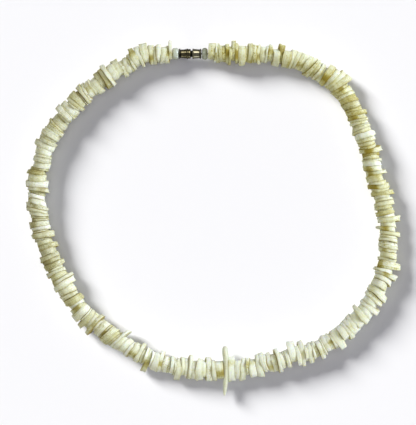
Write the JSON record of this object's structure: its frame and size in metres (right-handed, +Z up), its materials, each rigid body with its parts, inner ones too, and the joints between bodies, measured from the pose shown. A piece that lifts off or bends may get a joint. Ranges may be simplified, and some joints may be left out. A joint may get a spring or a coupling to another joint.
{
  "type": "puka shell necklace",
  "caption": "Puka shell necklace: a closed ring of pale drilled shell chips strung face to face, with a long spike shell at its foot and glass beads beside a barrel screw clasp.",
  "frame": {"origin": "middle of the necklace's outline, on the surface that it lies on", "axes": "+X to the right of the picture, +Y up towards the clasp, +Z up from the surface"},
  "size_m": [0.1618, 0.1528, 0.0093],
  "materials": {
    "shell_chips_left": "worn smooth shell",
    "shell_chips_right": "worn smooth shell",
    "spike_shell": "polished shell",
    "glass_left": "milky glass",
    "glass_right": "milky glass",
    "clasp": "aged pale plating",
    "string": "twisted cord"
  },
  "bodies": {
    "root": {"shell_chips_left": "shell_chips_left", "shell_chips_right": "shell_chips_right", "spike_shell": "spike_shell", "end_bead_left": "glass_left", "end_bead_right": "glass_right", "clasp_socket_half": "clasp", "clasp_stud_half": "clasp", "string": "string"}
  },
  "joints": []
}
